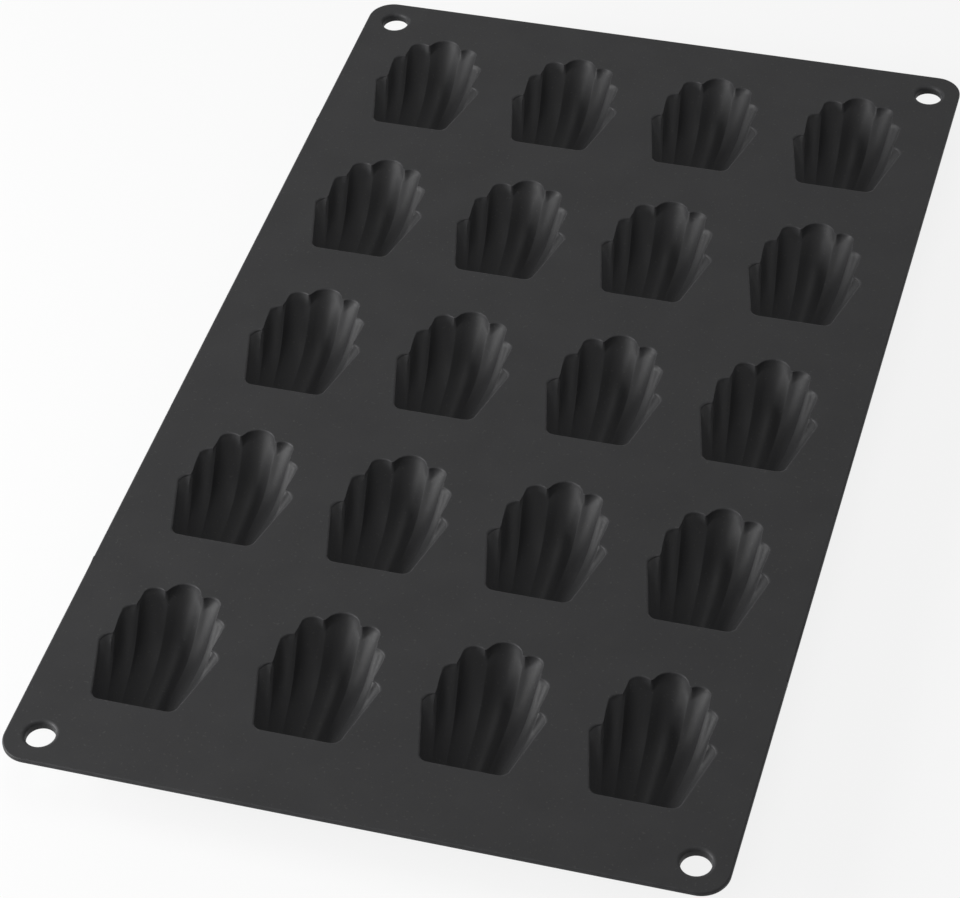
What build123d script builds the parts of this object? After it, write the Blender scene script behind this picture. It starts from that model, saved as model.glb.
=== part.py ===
from build123d import *
from math import atan2, cos, sin, sqrt, tan
import os

# A soft baking mould for twenty small shell cakes, moulded in one go from black
# silicone. It has four columns and five rows of fluted cups in a thin sheet, with
# a hanging eyelet in each corner. The solids are the zones of that one moulding:
# a deck strip for each row, the bending webs between the strips, the cups and the
# eyelets. All lengths are in millimetres. The sheet lies flat with its long side
# along Y, the shells' narrow ends towards -Y, and stands on its cups at Z = 0.

# Cup cavity, measured at its rim
cup_length = 40.0
cup_width = 29.5
cup_narrow_width = 20.55
cup_depth = 14.0
cup_side_depth = 0.9
cup_wall = 1.3
foot_flat = 0.4

# Pattern of cups in the sheet
row_count = 5
column_count = 4
row_gap = 15.9
column_gap = 11.2
near_margin = 22.3
far_margin = 14.1
side_margin = 11.7

# Sheet
sheet_thickness = 1.4
sheet_corner_radius = 7.0
sheet_edge_round = 0.45
web_length = 8.0

# Eyelets
eyelet_inset = 8.5
eyelet_bore_radius = 3.6
eyelet_ring_width = 2.6
eyelet_depth = 2.6
eyelet_top_round = 1.0
eyelet_foot_round = 0.35

# Flutes: the channels of the shell, which fan out from a pivot behind the narrow end
flare_share = 0.428
ridge_height = 3.4
heel_round = 1.4
heel_power = 20
bowl_power = 1.34
ridge_angle_shares = (0.168, 0.463, 0.791, 1.0)
# Each flute's rounded tip: the angle it points in, how far along the cup it reaches,
# and its radius as a share of the fan's half width at its centre
lobe_shares = (
    (0.0, 1.0, 0.328),
    (0.25, 0.952, 0.27),
    (0.435, 0.822, 0.335),
    (0.502, 0.613, 0.51),
)
station_shares = (-0.55, 0.0, 0.55, 1.0)

# The run of a flute, as seen from the side: how far along and how deep its curve's
# control points lie, down the narrow end's wall and then up to the tip
wall_run_shares = (0.0, 0.10, 0.22, 0.63)
wall_drop_shares = (0.0, 0.62, 1.0, 1.0)
floor_run_shares = (0.0, 0.42, 0.64, 0.68, 0.96, 1.0)
floor_drop_shares = (1.0, 1.0, 0.97, 0.91, 0.16, 0.0)
floor_ridge_shares = (0.57, 0.57, 1.0, 0.3, 0.94, 0.0)

overrun = 2.0

# Worked out from the sizes above
sheet_length = near_margin + row_count * cup_length + (row_count - 1) * row_gap + far_margin
sheet_width = 2 * side_margin + column_count * cup_width + (column_count - 1) * column_gap
row_pitch = cup_length + row_gap
column_pitch = cup_width + column_gap
first_cup_y = near_margin - sheet_length / 2
first_cup_x = side_margin + cup_width / 2 - sheet_width / 2
deck_top = cup_depth + cup_wall - foot_flat
deck_bottom = deck_top - sheet_thickness
eyelet_radius = eyelet_bore_radius + eyelet_ring_width

fan_angle = atan2((cup_width - cup_narrow_width) / 2, flare_share * cup_length)
pivot_back = cup_narrow_width / 2 / tan(fan_angle)


def tip_reach(angle):
    """Distance from the fan's pivot to the cup's rim, in the direction of angle."""
    reach = 0
    for angle_share, length_share, radius_share in lobe_shares:
        tip = pivot_back + length_share * cup_length
        distance = tip / (1 + radius_share * sin(fan_angle))
        radius = tip - distance
        offset = distance * sin(abs(angle) - angle_share * fan_angle)
        along = distance * cos(abs(angle) - angle_share * fan_angle)
        if abs(offset) < radius:
            reach = max(reach, along + sqrt(radius**2 - offset**2))
    return reach


def bowl_depth(angle):
    """Depth of the cup at this angle before its ridges are counted."""
    side = abs(angle) / fan_angle
    roundness = max(0, 1 - side**bowl_power) ** (1 / bowl_power)
    return cup_side_depth + (cup_depth - cup_side_depth) * roundness


def flute_section(angle, pinch, skin, land, top):
    """One upright slice of a flute, drawn outwards from the fan's pivot.

    pinch is 0 in a flute's middle and 1 on a ridge, skin is how far the slice lies
    outside the cavity, and land is the height of its upright band under the rim.
    """
    shift = skin / sin(fan_angle)
    side = abs(angle) / fan_angle
    heel = heel_round * side**heel_power
    start = (pivot_back + shift - skin) / cos(angle) + heel
    end = tip_reach(angle) + shift * cos(angle) + skin
    depth = bowl_depth(angle) + skin - land
    ridges = [ridge_height * share * pinch for share in floor_ridge_shares]
    wall_depth = depth - ridges[0]
    wall = [
        (start + run * wall_depth, -land - fall * wall_depth)
        for run, fall in zip(wall_run_shares, wall_drop_shares)
    ]
    run_length = end - wall[-1][0]
    floor = [
        (wall[-1][0] + run * run_length, -land - max(fall * depth - ridge, 0))
        for run, fall, ridge in zip(floor_run_shares, floor_drop_shares, ridges)
    ]
    pivot = (0, -pivot_back - shift, 0)
    slice_plane = Plane(
        origin=pivot,
        x_dir=(sin(angle), cos(angle), 0),
        z_dir=(cos(angle), -sin(angle), 0),
    )
    with BuildSketch(slice_plane) as section:
        with BuildLine():
            Bezier(*wall)
            Bezier(*floor)
            Polyline((end, -land), (end, top), (start, top), (start, -land))
        make_face()
    return section.sketch


def fan_slices():
    """The angle and pinch of every slice of the shell, from one side to the other."""
    half_fan = []
    inner_share = -ridge_angle_shares[0]
    for outer_share in ridge_angle_shares:
        middle = (inner_share + outer_share) / 2
        half = (outer_share - inner_share) / 2
        at_side = outer_share == ridge_angle_shares[-1]
        for station in station_shares:
            pinch = 0 if at_side and station > 0 else station**2
            half_fan.append((fan_angle * (middle + station * half), pinch))
        inner_share = outer_share
    one_side = [(angle, pinch) for angle, pinch in half_fan if angle > 0]
    mirrored = [(-angle, pinch) for angle, pinch in reversed(one_side)]
    return mirrored + [(0, 0)] + one_side


def shell_form(skin, land, top):
    """The fluted shell as a solid, with its rim at Z = 0 and its narrow end on X."""
    with BuildPart() as form:
        for angle, pinch in fan_slices():
            add(flute_section(angle, pinch, skin, land, top))
        loft(ruled=True)
    return form.part


def save(shape, name):
    """Label a finished zone of the mould and write it as a STEP file."""
    shape.label = name
    export_step(shape, f"parts/{name}.step")


os.makedirs("parts", exist_ok=True)

cup_places = [
    [
        (
            first_cup_x + column * column_pitch,
            first_cup_y + row * row_pitch,
            deck_top,
        )
        for column in range(column_count)
    ]
    for row in range(row_count)
]
hinge_ys = [first_cup_y - row_gap / 2 + row * row_pitch for row in range(1, row_count)]
row_starts = [-sheet_length / 2] + [y + web_length / 2 for y in hinge_ys]
row_ends = [y - web_length / 2 for y in hinge_ys] + [sheet_length / 2]
eyelet_x = sheet_width / 2 - eyelet_inset
eyelet_y = sheet_length / 2 - eyelet_inset

# One cup: the outer shell, less the cavity, cut flat where the mould stands on it
cavity = shell_form(0, 0, overrun)
with BuildPart() as cup:
    add(shell_form(cup_wall, sheet_thickness, 0))
    add(cavity, mode=Mode.SUBTRACT)
    split(bisect_by=Plane.XY.offset(-deck_top), keep=Keep.TOP)

# The hole that a cup leaves in the sheet
cup_hole = shell_form(cup_wall, sheet_thickness, overrun)

for row in range(row_count):
    for column in range(column_count):
        with BuildPart() as placed_cup:
            with Locations(cup_places[row][column]):
                add(cup.part)
        save(placed_cup.part, f"cup_row{row + 1}_{column + 1}")

# Deck strips: the flat of the sheet round one row of cups. The two end strips have
# the sheet's rounded corners and the seats of the eyelets.
for row in range(row_count):
    strip_length = row_ends[row] - row_starts[row]
    strip_middle = (row_ends[row] + row_starts[row]) / 2
    at_near_end = row == 0
    at_far_end = row == row_count - 1
    with BuildPart() as deck_strip:
        with BuildSketch(Plane.XY.offset(deck_bottom)) as strip_plan:
            with Locations((0, strip_middle)):
                Rectangle(sheet_width, strip_length)
            if at_near_end:
                fillet(strip_plan.vertices().group_by(Axis.Y)[0], sheet_corner_radius)
            if at_far_end:
                fillet(strip_plan.vertices().group_by(Axis.Y)[-1], sheet_corner_radius)
        extrude(amount=sheet_thickness)
        rim_edges = deck_strip.edges().group_by(Axis.Z)[0] + deck_strip.edges().group_by(Axis.Z)[-1]
        if not at_near_end:
            seam = rim_edges.filter_by(Axis.X).group_by(Axis.Y)[0]
            rim_edges = [edge for edge in rim_edges if edge not in seam]
        if not at_far_end:
            seam = ShapeList(rim_edges).filter_by(Axis.X).group_by(Axis.Y)[-1]
            rim_edges = [edge for edge in rim_edges if edge not in seam]
        fillet(rim_edges, sheet_edge_round)
        with Locations(*cup_places[row]):
            add(cup_hole, mode=Mode.SUBTRACT)
        if at_near_end or at_far_end:
            end_y = -eyelet_y if at_near_end else eyelet_y
            with Locations((-eyelet_x, end_y, deck_top), (eyelet_x, end_y, deck_top)):
                Hole(eyelet_radius, depth=sheet_thickness + overrun)
    save(deck_strip.part, f"deck_row{row + 1}")

# Bending webs: the plain bands of sheet between two rows, where the mould rolls up
for number, hinge_y in enumerate(hinge_ys, start=1):
    with BuildPart() as web:
        with BuildSketch(Plane.XY.offset(deck_bottom)):
            with Locations((0, hinge_y)):
                Rectangle(sheet_width, web_length)
        extrude(amount=sheet_thickness)
        side_edges = web.edges().filter_by(Axis.Y)
        fillet(side_edges, sheet_edge_round)
    save(web.part, f"web_{number}_{number + 1}")

# Eyelets: a thicker ring with a rounded mouth round each hanging hole
with BuildPart() as eyelet:
    with BuildSketch(Plane.XZ):
        with BuildLine():
            Polyline(
                (eyelet_bore_radius, eyelet_foot_round - eyelet_depth),
                (eyelet_bore_radius, -eyelet_top_round),
            )
            RadiusArc(
                (eyelet_bore_radius, -eyelet_top_round),
                (eyelet_bore_radius + eyelet_top_round, 0),
                -eyelet_top_round,
            )
            Polyline(
                (eyelet_bore_radius + eyelet_top_round, 0),
                (eyelet_radius, 0),
                (eyelet_radius, eyelet_foot_round - eyelet_depth),
            )
            RadiusArc(
                (eyelet_radius, eyelet_foot_round - eyelet_depth),
                (eyelet_radius - eyelet_foot_round, -eyelet_depth),
                eyelet_foot_round,
            )
            Line(
                (eyelet_radius - eyelet_foot_round, -eyelet_depth),
                (eyelet_bore_radius + eyelet_foot_round, -eyelet_depth),
            )
            RadiusArc(
                (eyelet_bore_radius + eyelet_foot_round, -eyelet_depth),
                (eyelet_bore_radius, eyelet_foot_round - eyelet_depth),
                eyelet_foot_round,
            )
        make_face()
    revolve(axis=Axis.Z)

for end_name, end in (("near", -1), ("far", 1)):
    for side_name, side in (("left", -1), ("right", 1)):
        with BuildPart() as placed_eyelet:
            with Locations((side * eyelet_x, end * eyelet_y, deck_top)):
                add(eyelet.part)
        save(placed_eyelet.part, f"eyelet_{end_name}_{side_name}")

print(f"sheet {sheet_width:.1f} by {sheet_length:.1f} by {deck_top:.2f}")
print("hinge lines", [round(y, 2) for y in hinge_ys], "at height", deck_top - sheet_thickness / 2)
print(f"cup volume {cup.part.volume:.1f}, cavity {cavity.volume:.1f}")
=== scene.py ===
# %% [markdown]
# A flexible baking mould for small shell cakes
#
# The object is one thin sheet of near black silicone, pressed in a steel tool. Twenty
# fluted shell cups hang under it, and each corner has a hanging hole with a thicker,
# rounded rim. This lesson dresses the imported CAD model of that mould: it models each
# zone of the sheet again as a fine mesh, gives it a silicone finish, and lights it as
# a product photograph on white. All lengths are in metres, in the CAD model's frame.

# %% Tools and frame
import bmesh
import bpy
from math import atan2, cos, pi, radians, sin, sqrt, tan
from mathutils import Matrix, Vector
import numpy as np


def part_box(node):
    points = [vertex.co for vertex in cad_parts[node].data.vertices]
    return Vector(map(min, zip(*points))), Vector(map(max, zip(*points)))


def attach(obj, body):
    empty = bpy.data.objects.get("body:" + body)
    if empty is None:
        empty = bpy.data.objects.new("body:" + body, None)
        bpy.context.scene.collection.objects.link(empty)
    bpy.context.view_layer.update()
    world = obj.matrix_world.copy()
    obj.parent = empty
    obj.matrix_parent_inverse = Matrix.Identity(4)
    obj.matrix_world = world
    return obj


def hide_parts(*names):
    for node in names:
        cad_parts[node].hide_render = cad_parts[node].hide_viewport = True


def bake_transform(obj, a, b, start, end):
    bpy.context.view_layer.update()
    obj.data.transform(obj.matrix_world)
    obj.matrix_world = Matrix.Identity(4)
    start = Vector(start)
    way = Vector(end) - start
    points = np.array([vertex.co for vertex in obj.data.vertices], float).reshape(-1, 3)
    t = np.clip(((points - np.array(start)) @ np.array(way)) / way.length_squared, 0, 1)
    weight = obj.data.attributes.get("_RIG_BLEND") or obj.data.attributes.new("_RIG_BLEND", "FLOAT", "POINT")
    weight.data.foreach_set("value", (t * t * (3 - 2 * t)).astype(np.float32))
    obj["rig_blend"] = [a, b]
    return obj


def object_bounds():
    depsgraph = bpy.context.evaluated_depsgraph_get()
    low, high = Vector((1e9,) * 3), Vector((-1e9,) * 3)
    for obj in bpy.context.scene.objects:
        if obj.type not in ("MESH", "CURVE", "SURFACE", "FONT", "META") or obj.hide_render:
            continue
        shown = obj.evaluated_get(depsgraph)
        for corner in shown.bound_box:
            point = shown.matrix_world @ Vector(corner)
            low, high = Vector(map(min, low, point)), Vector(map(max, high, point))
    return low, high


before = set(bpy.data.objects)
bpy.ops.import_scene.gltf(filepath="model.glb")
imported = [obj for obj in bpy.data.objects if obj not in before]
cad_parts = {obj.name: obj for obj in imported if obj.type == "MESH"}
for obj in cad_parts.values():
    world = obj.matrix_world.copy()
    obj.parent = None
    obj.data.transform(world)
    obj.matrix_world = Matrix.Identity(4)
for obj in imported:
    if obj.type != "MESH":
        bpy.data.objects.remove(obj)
cad_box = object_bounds()
mm = 0.001
merge_distance = 0.002 * mm
sharp_angle = radians(40)
print("CAD box in mm", [[round(value / mm, 2) for value in corner] for corner in cad_box])

# %% [markdown]
# The camera looks at the sheet from its narrow end, from the right and from above, at
# about 45 degrees, through a long lens, so the far rows are only a little smaller than
# the near ones. Such a camera could be placed by eye. Here its place, its target, its
# lens and its small tilt were worked out once from the sheet's straight edges and the
# even grid of cups, so the outline lands where the photograph has it.

# %% Camera
deck_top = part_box("deck_row3")[1].z
camera_place = Vector((0.18546, -0.58699, 0.57604 + deck_top))
camera_target = Vector((-0.00483, -0.02561, deck_top))
camera_roll = radians(-3.75)
focal_pixels = 3258.8
image_width = 960
sensor_width = 36.0
nearest_seen = 0.05
farthest_seen = 20.0

camera_data = bpy.data.cameras.new("camera")
camera_data.sensor_width = sensor_width
camera_data.lens = focal_pixels * sensor_width / image_width
camera_data.clip_start = nearest_seen
camera_data.clip_end = farthest_seen
camera = bpy.data.objects.new("camera", camera_data)
bpy.context.scene.collection.objects.link(camera)
look = (camera_target - camera_place).to_track_quat("-Z", "Y")
camera.rotation_euler = (look.to_matrix() @ Matrix.Rotation(camera_roll, 3, "Z")).to_euler()
camera.location = camera_place
bpy.context.scene.camera = camera
print("lens", round(camera_data.lens, 1), "mm")

# %% [markdown]
# Silicone rubber is pigmented through, so its colour hardly varies. What tells it from
# plastic is its matt skin, which takes the fine grain of the steel tool, polishes a
# little where hands and racks rub it, and holds specks of dust. One material gives all
# of this. Noise at five scales, from slow waves to single specks, varies its tone, its
# gloss and its grain, and an attribute named rub, which the meshes carry on their lips
# and edges, marks the worn places.

# %% Silicone
silicone_tone = (0.0205, 0.0205, 0.0214, 1.0)
silicone_dark = (0.0172, 0.0172, 0.0181, 1.0)
dust_tone = (0.10, 0.098, 0.095, 1.0)
rubbed_tone = (0.034, 0.034, 0.036, 1.0)
specular_level = 0.22
wave_scale = 38
cloud_scale = 70
blotch_scale = 420
fleck_scale = 1500
grain_scale = 2600
grain_noise_roughness = 0.6
cloud_range = (0.35, 0.65)
blotch_range = (0.3, 0.7)
fleck_range = (0.76, 0.80)
grain_range = (0.2, 0.8)
gloss_range = (0.50, 0.66)
dust_share = 0.16
rubbed_share = 0.6
rubbed_gloss_share = 0.10
wave_height = 0.10 * mm
wave_strength = 0.5
grain_height = 0.02 * mm
grain_strength = 0.35


def add_node(nodes, kind, **values):
    """Adds a shader node and sets its own settings and its named input sockets."""
    node = nodes.new(kind)
    for name, value in values.items():
        if hasattr(node, name):
            setattr(node, name, value)
        else:
            node.inputs[name.replace("_", " ")].default_value = value
    return node


def silicone_material():
    """Near black, matt, faintly grained silicone rubber."""
    material = bpy.data.materials.new("silicone")
    material.use_nodes = True
    nodes, links = material.node_tree.nodes, material.node_tree.links
    shader = nodes["Principled BSDF"]
    shader.inputs["Specular IOR Level"].default_value = specular_level
    place = add_node(nodes, "ShaderNodeTexCoord")

    def noise(scale, detail, roughness=0.5):
        node = add_node(nodes, "ShaderNodeTexNoise", Scale=scale, Detail=detail)
        node.inputs["Roughness"].default_value = roughness
        links.new(place.outputs["Object"], node.inputs["Vector"])
        return node.outputs["Fac"]

    def ramp(value, from_range, to_range=(0.0, 1.0)):
        node = add_node(nodes, "ShaderNodeMapRange")
        node.inputs["From Min"].default_value = from_range[0]
        node.inputs["From Max"].default_value = from_range[1]
        node.inputs["To Min"].default_value = to_range[0]
        node.inputs["To Max"].default_value = to_range[1]
        links.new(value, node.inputs["Value"])
        return node.outputs["Result"]

    def blend_colours(share, a, b):
        node = add_node(nodes, "ShaderNodeMix", data_type="RGBA")
        links.new(share, node.inputs["Factor"])
        for socket, colour in (("A", a), ("B", b)):
            target = next(s for s in node.inputs if s.name == socket and s.type == "RGBA")
            if isinstance(colour, tuple):
                target.default_value = colour
            else:
                links.new(colour, target)
        return next(s for s in node.outputs if s.type == "RGBA")

    def multiply(a, b):
        node = add_node(nodes, "ShaderNodeMath", operation="MULTIPLY")
        for socket, value in zip(node.inputs, (a, b)):
            if isinstance(value, float):
                socket.default_value = value
            else:
                links.new(value, socket)
        return node.outputs["Value"]

    cloudy = noise(cloud_scale, detail=3)
    blotches = noise(blotch_scale, detail=2)
    grain = noise(grain_scale, detail=2, roughness=grain_noise_roughness)
    waves = noise(wave_scale, detail=1)
    flecks = noise(fleck_scale, detail=0)

    rub = add_node(nodes, "ShaderNodeAttribute", attribute_name="rub", attribute_type="GEOMETRY")
    rubbed = multiply(rub.outputs["Fac"], ramp(blotches, blotch_range))
    dust = multiply(ramp(flecks, fleck_range), dust_share)

    tone = blend_colours(ramp(cloudy, cloud_range), silicone_dark, silicone_tone)
    tone = blend_colours(multiply(rubbed, rubbed_share), tone, rubbed_tone)
    tone = blend_colours(dust, tone, dust_tone)
    links.new(tone, shader.inputs["Base Color"])

    gloss = add_node(nodes, "ShaderNodeMath", operation="SUBTRACT")
    links.new(ramp(grain, grain_range, gloss_range), gloss.inputs[0])
    links.new(multiply(rubbed, rubbed_gloss_share), gloss.inputs[1])
    links.new(gloss.outputs["Value"], shader.inputs["Roughness"])

    coarse = add_node(nodes, "ShaderNodeBump", Strength=wave_strength, Distance=wave_height)
    links.new(waves, coarse.inputs["Height"])
    fine = add_node(nodes, "ShaderNodeBump", Strength=grain_strength, Distance=grain_height)
    links.new(grain, fine.inputs["Height"])
    links.new(coarse.outputs["Normal"], fine.inputs["Normal"])
    links.new(fine.outputs["Normal"], shader.inputs["Normal"])
    return material


silicone = silicone_material()
print(len(silicone.node_tree.nodes), "nodes in the silicone")

# %% [markdown]
# The mould lies on a white sheet, with a large soft lamp at its left side, like a window.
# That lamp stands low, so the left wall and the floor of each cup fall into shade and
# the right wall is lit, which is what shows the flutes. A weak lamp overhead and the
# white round everything fill the shade. To the camera the floor and the sky are plain
# white. To the object they stay an ordinary pale room.

# %% Floor, sky and lamps
floor_size = 8.0
floor_white = 0.80
floor_camera_share = 0.85
sky_strength = 0.185
lamp_place = Vector((-0.628, -0.266, 0.245))
lamp_target = Vector((0, 0, deck_top))
lamp_size = (0.50, 0.35)
lamp_power = 8.0
ceiling_place = Vector((0.0, 0.0, 1.1))
ceiling_size = (0.7, 0.7)
ceiling_power = 2.4


def seen_directly(nodes, links):
    """1 for rays from the camera and mirror or glass rays, and 0 for the rest."""
    path = nodes.new("ShaderNodeLightPath")
    total = path.outputs["Is Camera Ray"]
    for name in ("Is Glossy Ray", "Is Transmission Ray"):
        either = add_node(nodes, "ShaderNodeMath", operation="MAXIMUM")
        links.new(total, either.inputs[0])
        links.new(path.outputs[name], either.inputs[1])
        total = either.outputs["Value"]
    return total


def floor_material():
    """White to the camera, with the object's shadow kept."""
    material = bpy.data.materials.new("floor")
    material.use_nodes = True
    nodes, links = material.node_tree.nodes, material.node_tree.links
    nodes.clear()
    lit = nodes.new("ShaderNodeBsdfDiffuse")
    lit.inputs["Color"].default_value = (floor_white, floor_white, floor_white, 1)
    plain = add_node(nodes, "ShaderNodeEmission", Strength=1.0)
    mix = nodes.new("ShaderNodeMixShader")
    out = nodes.new("ShaderNodeOutputMaterial")
    share = add_node(nodes, "ShaderNodeMath", operation="MULTIPLY")
    share.inputs[1].default_value = floor_camera_share
    links.new(seen_directly(nodes, links), share.inputs[0])
    links.new(share.outputs["Value"], mix.inputs["Fac"])
    links.new(lit.outputs["BSDF"], mix.inputs[1])
    links.new(plain.outputs["Emission"], mix.inputs[2])
    links.new(mix.outputs["Shader"], out.inputs["Surface"])
    return material


bm = bmesh.new()
bmesh.ops.create_grid(bm, x_segments=1, y_segments=1, size=floor_size / 2)
floor_mesh = bpy.data.meshes.new("floor")
bm.to_mesh(floor_mesh)
bm.free()
floor_mesh.materials.append(floor_material())
floor = bpy.data.objects.new("floor", floor_mesh)
bpy.context.scene.collection.objects.link(floor)

sky = bpy.data.worlds.new("sky")
sky.use_nodes = True
bpy.context.scene.world = sky
nodes, links = sky.node_tree.nodes, sky.node_tree.links
nodes.clear()
room = add_node(nodes, "ShaderNodeBackground", Strength=sky_strength)
white = add_node(nodes, "ShaderNodeBackground", Strength=1.0)
for background in (room, white):
    background.inputs["Color"].default_value = (1, 1, 1, 1)
sky_mix = nodes.new("ShaderNodeMixShader")
sky_out = nodes.new("ShaderNodeOutputWorld")
links.new(seen_directly(nodes, links), sky_mix.inputs["Fac"])
links.new(room.outputs["Background"], sky_mix.inputs[1])
links.new(white.outputs["Background"], sky_mix.inputs[2])
links.new(sky_mix.outputs["Shader"], sky_out.inputs["Surface"])


def add_lamp(name, place, size, power):
    """A soft rectangular lamp that points at the middle of the mould."""
    lamp_data = bpy.data.lights.new(name, "AREA")
    lamp_data.shape = "RECTANGLE"
    lamp_data.size, lamp_data.size_y = size
    lamp_data.energy = power
    lamp = bpy.data.objects.new(name, lamp_data)
    bpy.context.scene.collection.objects.link(lamp)
    lamp.location = place
    lamp.rotation_euler = (lamp_target - place).to_track_quat("-Z", "Y").to_euler()


add_lamp("window_lamp", lamp_place, lamp_size, lamp_power)
add_lamp("ceiling_lamp", ceiling_place, ceiling_size, ceiling_power)
bpy.context.scene.view_settings.view_transform = "Standard"
print("lamp", round((lamp_place - lamp_target).length, 2), "m from the mould")

# %% [markdown]
# The cup is a fan of seven channels, or flutes. All of them start at the straight
# narrow end and spread from one pivot point behind it, and each ends in a round tip, so
# the rim is scalloped. The tips are circles, so the distance from the pivot to the rim
# in any direction is where a ray leaves those circles. The mean of a few rays side by
# side softens the cusps between them. A traced outline would hold many points. A pivot,
# four circles and the ridge angles say the same thing exactly, and the left half is the
# right half mirrored.

# %% Sizes of a cup
cup_length = 40.0 * mm
cup_width = 29.5 * mm
cup_narrow_width = 20.55 * mm
cup_depth = 14.0 * mm
cup_side_depth = 0.9 * mm
cup_wall = 1.3 * mm
sheet_thickness = 1.4 * mm
ridge_height = 3.0 * mm
heel_round = 1.4 * mm
heel_power = 20
bowl_power = 1.34
flare_share = 0.428
ridge_angle_shares = (0.226, 0.545, 0.79, 1.0)
lobe_shares = (
    (0.0, 1.0, 0.2435),
    (0.368, 0.9355, 0.1777),
    (0.56, 0.786, 0.22),
    (0.815, 0.545, 0.192),
)
tip_fall = 0.721
tip_fall_power = 2.415
cusp_softness = 0.022
cusp_steps = 3
fan_angle = atan2((cup_width - cup_narrow_width) / 2, flare_share * cup_length)
pivot_back = cup_narrow_width / 2 / tan(fan_angle)


def lobe_reach(angle):
    """Distance from the pivot to where a ray leaves the tips' circles."""
    reach = 0
    for angle_share, length_share, radius_share in lobe_shares:
        tip = pivot_back + length_share * cup_length
        distance = tip / (1 + radius_share * sin(fan_angle))
        radius = tip - distance
        offset = distance * sin(abs(angle) - angle_share * fan_angle)
        along = distance * cos(abs(angle) - angle_share * fan_angle)
        if abs(offset) < radius:
            reach = max(reach, along + sqrt(radius**2 - offset**2))
    return reach


def tip_reach(angle):
    """Distance from the fan's pivot to the rim: the lobes, with softened cusps."""
    spread = cusp_softness * fan_angle
    shifts = [spread * step / cusp_steps for step in range(-cusp_steps, cusp_steps + 1)]
    rays = [min(abs(angle + shift), fan_angle) for shift in shifts]
    return sum(lobe_reach(ray) for ray in rays) / len(rays)


def bowl_reach(angle):
    """The same distance for the bowl: a smooth line that touches the tips."""
    side = abs(angle) / fan_angle
    smooth_reach = pivot_back + cup_length * (1 - tip_fall * side**tip_fall_power)
    return max(smooth_reach, tip_reach(angle))


print("fan half angle", round(fan_angle * 180 / pi, 2), "degrees")
print("reach to the middle tip", round(tip_reach(0) / mm, 2), "mm")

# %% [markdown]
# Cut upright along one flute, the cup shows a steep wall at the narrow end, then a floor
# that stays nearly level for half of its length and climbs ever more steeply to the tip.
# Two Bezier curves give that line. The floor's curve is drawn to a smooth line round the
# tips and cut off where the scalloped rim comes first, so all the flutes lie in one even
# bowl. If each curve ended at its own tip instead, every flute would be a finger with a
# step beside it. Between the flutes the floor is higher, which makes the ridges. They are
# faint at the narrow end, highest near the tips, and run out into the rim, each at a cusp
# between two tips.

# %% Shape along a flute
wall_run_shares = (0.0, 0.10, 0.22, 0.63)
wall_drop_shares = (0.0, 0.62, 1.0, 1.0)
floor_run_shares = (0.0, 0.42, 0.64, 0.68, 0.96, 1.0)
floor_drop_shares = (1.0, 1.0, 0.97, 0.91, 0.16, 0.0)
floor_ridge_shares = (0.03, 0.03, 0.08, 0.50, 1.15, 0.0)
wall_steps = 9
floor_steps = 26
rim_slope_run = 0.8 * mm
halvings = 16


def bezier_point(points, share):
    """The point at a share of a Bezier curve, by repeated blending of its controls."""
    while len(points) > 1:
        points = [a.lerp(b, share) for a, b in zip(points, points[1:])]
    return points[0]


def bowl_depth(angle):
    """Depth of the cup at this angle before its ridges are counted."""
    side = abs(angle) / fan_angle
    roundness = max(0, 1 - side**bowl_power) ** (1 / bowl_power)
    return cup_side_depth + (cup_depth - cup_side_depth) * roundness


def rim_ends(angle, skin):
    """Where a skin's rim starts and ends on a ray, as distances from its pivot."""
    shift = skin / sin(fan_angle)
    heel = heel_round * (abs(angle) / fan_angle) ** heel_power
    start = (pivot_back + shift - skin) / cos(angle) + heel
    end = tip_reach(angle) + shift * cos(angle) + skin
    return start, end


def flute_run(angle, pinch, skin, near_land, tip_land):
    """Distance and height of each mesh point along one flute, rim to rim.

    The lands are how far below the sheet's top the run starts and ends.
    """
    start, end = rim_ends(angle, skin)
    bowl_end = end + bowl_reach(angle) - tip_reach(angle)
    depth = bowl_depth(angle) + skin
    ridges = [ridge_height * share * pinch for share in floor_ridge_shares]
    wall_depth = depth - near_land - ridges[0]
    wall = [
        Vector((start + run * wall_depth, -near_land - fall * wall_depth))
        for run, fall in zip(wall_run_shares, wall_drop_shares)
    ]
    foot = wall[-1].x
    floor = [
        Vector((
            foot + run * (bowl_end - foot),
            -tip_land - max(fall * (depth - tip_land) - ridge, 0),
        ))
        for run, fall, ridge in zip(floor_run_shares, floor_drop_shares, ridges)
    ]
    low, high = 0.0, 1.0
    for _ in range(halvings):
        middle = (low + high) / 2
        inside = bezier_point(floor, middle).x < end - rim_slope_run
        low, high = (middle, high) if inside else (low, middle)
    points = [bezier_point(wall, step / wall_steps) for step in range(wall_steps)]
    last_step = floor_steps - 1
    points += [bezier_point(floor, low * step / last_step) for step in range(floor_steps)]
    return points + [Vector((end, -tip_land))]


middle_run = flute_run(0, 0, 0, 0, 0)
print("deepest point", round(-min(point.y for point in middle_run) / mm, 2), "mm")

# %% [markdown]
# Across the fan, the mesh has a line of points on every ridge and several between. They
# crowd towards the ridges, where the surface turns most. One more line at each side
# lifts the low side wall up to the rim.

# %% Lines across the fan
steps_per_flute = 10
smallest_angle = 1e-6


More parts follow.
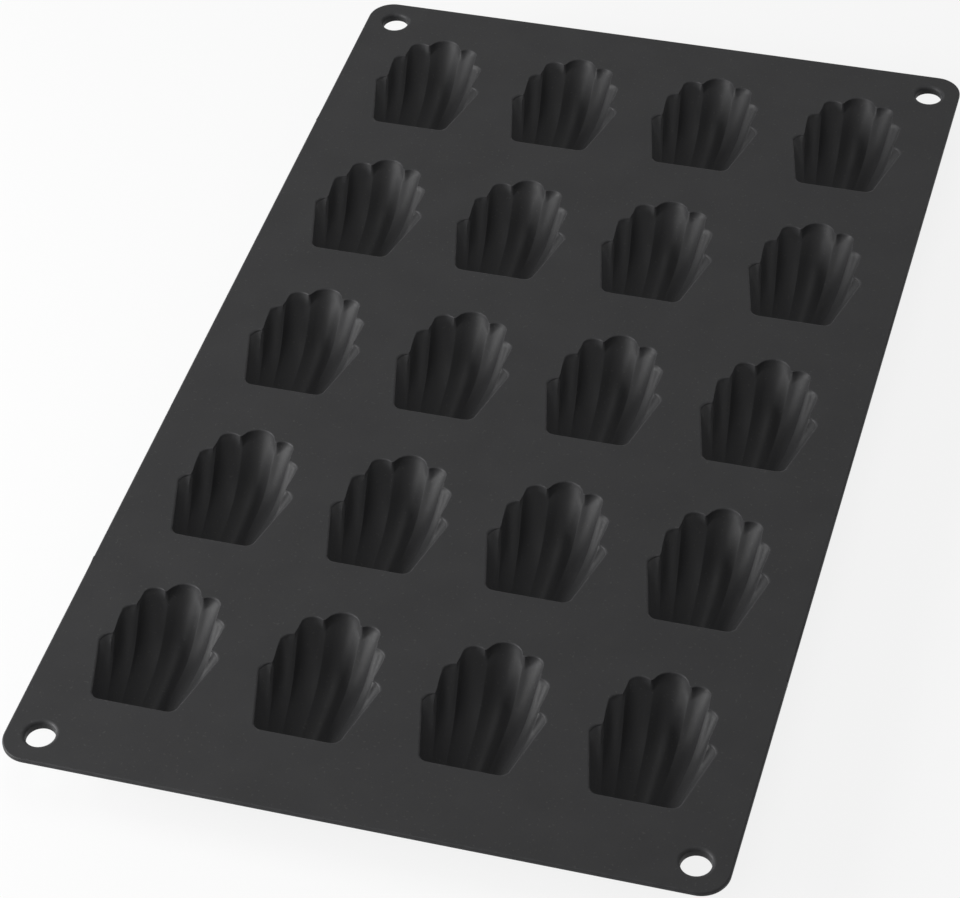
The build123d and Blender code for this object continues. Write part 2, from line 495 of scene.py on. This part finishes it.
def fan_stations():
    """(angle, pinch, on the rim) of every line of points, from one side to the other."""
    half_fan = []
    inner_share = -ridge_angle_shares[0]
    for outer_share in ridge_angle_shares:
        middle = (inner_share + outer_share) / 2
        half = (outer_share - inner_share) / 2
        at_side = outer_share == ridge_angle_shares[-1]
        for step in range(1, steps_per_flute + 1):
            station = sin(pi * (step / steps_per_flute - 0.5))
            pinch = 0 if at_side and station > 0 else station**2
            half_fan.append((fan_angle * (middle + station * half), pinch, False))
        inner_share = outer_share
    one_side = [station for station in half_fan if station[0] > smallest_angle]
    one_side.append((fan_angle, 0, True))
    mirrored = [(-angle, pinch, rim) for angle, pinch, rim in reversed(one_side)]
    return mirrored + [(0, 0, False)] + one_side


stations = fan_stations()
last_row = len(middle_run) - 1
print(len(stations), "lines of", len(middle_run), "points in a cup")

# %% [markdown]
# A cup has two skins, the inside that shapes the cake and the outside that hangs under
# the sheet. Each starts as a plain grid, whose columns are the lines across the fan and
# whose rows are the points along a flute, and every point is moved to its place. Sculpting
# would give such a bowl too, but no ridge would then lie at a named angle. The two skins
# differ only by the wall between them.

# %% Mesh of one skin of the cup
def plan_point(angle, distance, skin):
    """The place, seen from above, at a distance from the pivot of a skin."""
    pivot_y = -pivot_back - skin / sin(fan_angle)
    return Vector((sin(angle) * distance, cos(angle) * distance + pivot_y, 0))


def rim_point(angle, share, skin):
    """The place at a share of the way from the narrow end to the tips."""
    start, end = rim_ends(angle, skin)
    return plan_point(angle, start + share * (end - start), skin)


def side_shares(skin, land):
    """How far along the fan's straight side each point of its run lies."""
    side_run = flute_run(fan_angle, 0, skin, land, land)
    start, end = rim_ends(fan_angle, skin)
    return [(point.x - start) / (end - start) for point in side_run]


def add_skin(bm, skin, land_at):
    """Adds a grid and moves it onto the cup's inner or outer surface.

    land_at gives, for a column and a row, how far below the sheet's top the rim lies.
    """
    column_layer = bm.verts.layers.int["column"]
    row_layer = bm.verts.layers.int["row"]
    runs = [
        flute_run(angle, pinch, skin, land_at(column, 0), land_at(column, last_row))
        for column, (angle, pinch, _) in enumerate(stations)
    ]
    rows, columns = len(runs[0]) - 1, len(runs) - 1
    made = bmesh.ops.create_grid(bm, x_segments=columns, y_segments=rows, size=1)["verts"]
    for vert in made:
        column = round((vert.co.x + 1) / 2 * columns)
        row = round((vert.co.y + 1) / 2 * rows)
        angle, _, on_rim = stations[column]
        distance, height = runs[column][row]
        vert[column_layer] = column
        vert[row_layer] = row
        vert.co = plan_point(angle, distance, skin)
        vert.co.z = -land_at(column, row) if on_rim else height
    bmesh.ops.remove_doubles(bm, verts=made, dist=merge_distance)


def open_edges(bm):
    """The edges that have only one face, which are the open rims."""
    return [edge for edge in bm.edges if edge.is_boundary]


def extrude_rim(bm, edges, shares, place_at):
    """Extrudes an open rim to a new outline, and returns its new edges.

    place_at gives the skin and the height of the outline for a column and a row.
    """
    made = bmesh.ops.extrude_edge_only(bm, edges=edges)["geom"]
    rim = [part for part in made if isinstance(part, bmesh.types.BMEdge) and part.is_boundary]
    column_layer = bm.verts.layers.int["column"]
    row_layer = bm.verts.layers.int["row"]
    for vert in {vert for edge in rim for vert in edge.verts}:
        column, row = vert[column_layer], vert[row_layer]
        skin, height = place_at(column, row)
        vert.co = rim_point(stations[column][0], shares[row], skin)
        vert.co.z = height
    return rim


# %% [markdown]
# The cup's mesh joins both skins. The inner rim is extruded in four small steps that
# turn from upright to level, which makes the soft lip that catches the light. The lip
# is full in a flute's middle and thins out on a ridge, so the ridges run up to the
# sheet between the tips. A bevel tool would stumble over the many short edges here, but
# the outline's formula gives each step exactly. Two more steps lead across the flat
# collar and down its side, where the rim meets the outer skin point for point. The
# sheet's hole ends at that collar.

# %% Cup
lip_round = 0.50 * mm
lip_thinning = 0.8
lip_steps = 4
level_limit = 0.99999


def lip_at(column, row):
    """The lip's size: full round the rim, and thin where a ridge meets the tips."""
    pinch = stations[column][1] if row > wall_steps else 0
    return lip_round * (1 - lip_thinning * pinch)


def lip_step(turn):
    """How far out and down the lip lies after a turn, for each column and row."""
    return lambda column, row: (
        lip_at(column, row) * (1 - cos(turn)),
        -lip_at(column, row) * (1 - sin(turn)),
    )


def cup_mesh():
    """One cup as a closed mesh, with its rim at z = 0 and its narrow end on y = 0."""
    bm = bmesh.new()
    bm.verts.layers.int.new("column")
    bm.verts.layers.int.new("row")
    bm.verts.layers.float.new("rub")
    add_skin(bm, 0, lip_at)
    rim = open_edges(bm)
    inner_shares = side_shares(0, lip_round)
    outer_shares = side_shares(cup_wall, sheet_thickness)
    for step in range(1, lip_steps + 1):
        rim = extrude_rim(bm, rim, inner_shares, lip_step(pi / 2 * step / lip_steps))
    rim = extrude_rim(bm, rim, outer_shares, lambda column, row: (cup_wall, 0))
    rim = extrude_rim(bm, rim, outer_shares, lambda column, row: (cup_wall, -sheet_thickness))
    add_skin(bm, cup_wall, lambda column, row: sheet_thickness)
    bmesh.ops.remove_doubles(bm, verts=bm.verts, dist=merge_distance)
    rub_layer = bm.verts.layers.float["rub"]
    for vert in bm.verts:
        on_lip = merge_distance - lip_round < vert.co.z < -merge_distance
        vert[rub_layer] = 1.0 if on_lip else 0.0
        vert.co.z = max(vert.co.z, -deck_top)
    for name in ("column", "row"):
        bm.verts.layers.int.remove(bm.verts.layers.int[name])
    bmesh.ops.recalc_face_normals(bm, faces=bm.faces)
    return bm


def finished_mesh(bm, name):
    """A smooth-shaded mesh, whose level faces stay flat and whose hard edges stay crisp."""
    for face in bm.faces:
        face.smooth = abs(face.normal.z) < level_limit
    for edge in bm.edges:
        edge.smooth = edge.calc_face_angle(0) < sharp_angle
    volume = bm.calc_volume(signed=True) / mm**3
    print(name, len(bm.faces), "faces,", len(open_edges(bm)), "open edges,", round(volume), "mm3")
    mesh = bpy.data.meshes.new(name)
    bm.to_mesh(mesh)
    bm.free()
    return mesh


def add_piece(name, mesh, body, *nodes):
    """Puts a mesh in the scene, on its body, in place of CAD nodes."""
    piece = bpy.data.objects.new(name, mesh)
    bpy.context.scene.collection.objects.link(piece)
    piece.data.materials.append(silicone)
    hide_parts(*nodes)
    if body:
        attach(piece, body)
    return piece


# %% [markdown]
# All twenty cups are alike and point the same way, in five rows of four. So one mesh is
# made, and a copy of it is moved to each place. Twenty objects could share one mesh and
# be moved instead, but here every finished object stays at the origin, unturned, because
# the pose of its row is laid over it later.

# %% Twenty cups
row_count = 5
column_count = 4
row_gap = 15.9 * mm
column_gap = 11.2 * mm
near_margin = 22.3 * mm
row_pitch = cup_length + row_gap
column_pitch = cup_width + column_gap
first_cup_x = -column_pitch * (column_count - 1) / 2
first_cup_y = cad_box[0][1] + near_margin

cup_pattern = finished_mesh(cup_mesh(), "cup_pattern")
for row in range(row_count):
    cup_y = first_cup_y + row * row_pitch
    for column in range(column_count):
        place = Vector((first_cup_x + column * column_pitch, cup_y, deck_top))
        mesh = cup_pattern.copy()
        mesh.transform(Matrix.Translation(place))
        name = f"cup_row{row + 1}_{column + 1}"
        add_piece(f"fluted_{name}", mesh, f"row_{row + 1}", name)
bpy.data.meshes.remove(cup_pattern)

# %% [markdown]
# The flat of the sheet is cut into strips where the mould bends between rows. Each
# strip starts as closed loops of edges: its own outline, the cups' collars and, at the
# corners, the seats of the hanging eyelets. One fill closes the space between the
# loops, and one extrusion gives the thickness. Holes cut with booleans would give the
# same shape, but the loops meet the collars point for point, so no seam shows.

# %% Closed loops
corner_steps = 16
ring_steps = 64


def add_loop(bm, points):
    """Adds a closed loop of edges through the points."""
    ring = bmesh.ops.create_circle(bm, segments=len(points), radius=1)["verts"]
    for vert, point in zip(ring, points):
        vert.co = point
    return ring


def collar_points(place):
    """The outline where a cup's collar meets the sheet, in order round the cup."""
    shares = side_shares(cup_wall, sheet_thickness)[1:-1]
    angles = [angle for angle, _, on_rim in stations if not on_rim]
    marks = [(angle, 0) for angle in angles] + [(fan_angle, share) for share in shares]
    marks += [(angle, 1) for angle in reversed(angles)]
    marks += [(-fan_angle, share) for share in reversed(shares)]
    return [place + rim_point(angle, share, cup_wall) for angle, share in marks]


def arc_points(centre, radius, first_turn, last_turn, steps):
    """Points on an arc, in degrees from the X axis, both ends included."""
    turns = [first_turn + (last_turn - first_turn) * step / steps for step in range(steps + 1)]
    return [
        centre + Vector((cos(radians(turn)), sin(radians(turn)), 0)) * radius for turn in turns
    ]

# %% [markdown]
# A strip's outline is round at the sheet's own corners and square at a seam. Pressed
# silicone has a softly rounded edge, so a bevel rounds the long edges of the outline, top
# and bottom. The seams are left out of it, or each would show as a groove.

# %% Deck strips
sheet_corner_radius = 7.0 * mm
sheet_edge_round = 0.45 * mm
edge_steps = 4
eyelet_radius = 6.2 * mm
eyelet_x = 79.0 * mm
eyelet_y = 141.5 * mm
web_length = 8.0 * mm
hinge_ys = [first_cup_y + row * row_pitch - row_gap / 2 for row in range(1, row_count)]
half_width = cad_box[1][0]
half_length = cad_box[1][1]
strip_starts = [-half_length] + [y + web_length / 2 for y in hinge_ys]
strip_ends = [y - web_length / 2 for y in hinge_ys] + [half_length]
strip_corners = ((1, -1, -90), (1, 1, 0), (-1, 1, 90), (-1, -1, 180))


def strip_outline(start_y, end_y):
    """A strip's outline: rounded at the sheet's own corners and square at a seam."""
    points = []
    for x_side, y_side, turn in strip_corners:
        y = start_y if y_side < 0 else end_y
        if abs(y) < half_length - merge_distance:
            points.append(Vector((x_side * half_width, y, 0)))
            continue
        centre_x = x_side * (half_width - sheet_corner_radius)
        centre = Vector((centre_x, y - y_side * sheet_corner_radius, 0))
        points += arc_points(centre, sheet_corner_radius, turn, turn + 90, corner_steps)
    return points


def on_sheet_edge(point):
    """Whether a point lies on the outline of the whole sheet, a rounded rectangle."""
    past_x = max(abs(point.x) - half_width + sheet_corner_radius, 0)
    past_y = max(abs(point.y) - half_length + sheet_corner_radius, 0)
    return sqrt(past_x**2 + past_y**2) > sheet_corner_radius - merge_distance


def thicken(bm):
    """Gives a flat face at z = 0 the sheet's thickness, downwards."""
    made = bmesh.ops.extrude_face_region(bm, geom=bm.faces[:])["geom"]
    for part in made:
        if isinstance(part, bmesh.types.BMVert):
            part.co.z -= sheet_thickness
    bmesh.ops.recalc_face_normals(bm, faces=bm.faces)


def round_sheet_edges(bm):
    """Rounds the sheet's own edges, top and bottom, and leaves the seams square."""
    edges = []
    for edge in bm.edges:
        a, b = (vert.co for vert in edge.verts)
        level = abs(a.z - b.z) < merge_distance
        at_seam = abs(a.y - b.y) < merge_distance and abs(a.y) < half_length - merge_distance
        outer = on_sheet_edge(a) and on_sheet_edge(b) and edge.calc_face_angle(0) > sharp_angle
        if level and outer and not at_seam:
            edges.append(edge)
    bmesh.ops.bevel(
        bm,
        geom=edges,
        offset=sheet_edge_round,
        affect="EDGES",
        segments=edge_steps,
        profile=0.5,
        material=-1,
    )
    rub_layer = bm.verts.layers.float["rub"]
    for vert in bm.verts:
        rounded = -sheet_thickness + merge_distance < vert.co.z < -merge_distance
        vert[rub_layer] = 1.0 if rounded else 0.0


def eyelet_places():
    """(name, place) of the four hanging holes."""
    for y_side, y_name in ((-1, "near"), (1, "far")):
        for x_side, x_name in ((-1, "left"), (1, "right")):
            place = Vector((x_side * eyelet_x, y_side * eyelet_y, 0))
            yield f"{y_name}_{x_name}", place


for row in range(row_count):
    bm = bmesh.new()
    bm.verts.layers.float.new("rub")
    start_y, end_y = strip_starts[row], strip_ends[row]
    add_loop(bm, strip_outline(start_y, end_y))
    for column in range(column_count):
        cup_x = first_cup_x + column * column_pitch
        add_loop(bm, collar_points(Vector((cup_x, first_cup_y + row * row_pitch, 0))))
    for _, place in eyelet_places():
        if start_y < place.y < end_y:
            add_loop(bm, arc_points(place, eyelet_radius, 0, 360, ring_steps)[:-1])
    bmesh.ops.triangle_fill(bm, use_beauty=True, edges=bm.edges[:])
    thicken(bm)
    round_sheet_edges(bm)
    bmesh.ops.translate(bm, verts=bm.verts, vec=(0, 0, deck_top))
    mesh = finished_mesh(bm, f"strip_row{row + 1}")
    add_piece(f"strip_row{row + 1}", mesh, f"row_{row + 1}", f"deck_row{row + 1}")

# %% [markdown]
# Between two rows the sheet is plain and thin, and there the mould rolls up to free the
# cakes. Each such band is one strip with many cross lines, and its points turn with
# the next row by a share that grows smoothly from one seam to the other. So the sheet
# bends in a round curve and stays joined to both neighbours.

# %% Bending bands
band_steps = 24

for number, hinge_y in enumerate(hinge_ys, 1):
    bm = bmesh.new()
    bm.verts.layers.float.new("rub")
    bmesh.ops.create_grid(bm, x_segments=1, y_segments=band_steps, size=0.5)
    bmesh.ops.scale(bm, vec=(2 * half_width, web_length, 1), verts=bm.verts)
    bmesh.ops.translate(bm, verts=bm.verts, vec=(0, hinge_y, 0))
    thicken(bm)
    round_sheet_edges(bm)
    bmesh.ops.translate(bm, verts=bm.verts, vec=(0, 0, deck_top))
    mesh = finished_mesh(bm, f"band_{number}_{number + 1}")
    name = f"{number}_{number + 1}"
    band = add_piece(f"bending_band_{name}", mesh, None, f"web_{name}")
    start = (0, hinge_y - web_length / 2, deck_top)
    end = (0, hinge_y + web_length / 2, deck_top)
    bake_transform(band, f"row_{number}", f"row_{number + 1}", start, end)

# %% [markdown]
# Each hanging hole is a ring of thicker silicone, so that a hook doesn't tear it. Its
# mouth is well rounded above. The ring is turned, as on a lathe: half of its section is
# drawn once as arcs and lines, and spun a full turn about the hole's centre.

# %% Hanging eyelets
eyelet_bore_radius = 3.6 * mm
eyelet_depth = 2.6 * mm
eyelet_mouth_round = 1.0 * mm
eyelet_foot_round = 0.35 * mm
mouth_steps = 8
foot_steps = 3


def eyelet_mesh(place):
    """The ring round a hanging hole, spun from its section."""
    bm = bmesh.new()
    rub_layer = bm.verts.layers.float.new("rub")
    foot_height = eyelet_foot_round - eyelet_depth
    mouth = Vector((eyelet_bore_radius + eyelet_mouth_round, -eyelet_mouth_round, 0))
    outer_foot = Vector((eyelet_radius - eyelet_foot_round, foot_height, 0))
    inner_foot = Vector((eyelet_bore_radius + eyelet_foot_round, foot_height, 0))
    section = arc_points(mouth, eyelet_mouth_round, 180, 90, mouth_steps)
    section += [Vector((eyelet_radius, 0, 0))]
    section += arc_points(outer_foot, eyelet_foot_round, 0, -90, foot_steps)
    section += arc_points(inner_foot, eyelet_foot_round, -90, -180, foot_steps)
    ring = [bm.verts.new((point.x, 0, point.y)) for point in section]
    for vert in ring[1:mouth_steps]:
        vert[rub_layer] = 1.0
    edges = [bm.edges.new(pair) for pair in zip(ring, ring[1:] + ring[:1])]
    bmesh.ops.spin(
        bm,
        geom=ring + edges,
        axis=(0, 0, 1),
        cent=(0, 0, 0),
        angle=2 * pi,
        steps=ring_steps,
        use_merge=True,
    )
    bmesh.ops.remove_doubles(bm, verts=bm.verts, dist=merge_distance)
    bmesh.ops.recalc_face_normals(bm, faces=bm.faces)
    bmesh.ops.translate(bm, verts=bm.verts, vec=place + Vector((0, 0, deck_top)))
    return bm


for name, place in eyelet_places():
    body = "row_1" if place.y < 0 else f"row_{row_count}"
    mesh = finished_mesh(eyelet_mesh(place), f"eyelet_{name}")
    add_piece(f"hanging_{name}", mesh, body, f"eyelet_{name}")
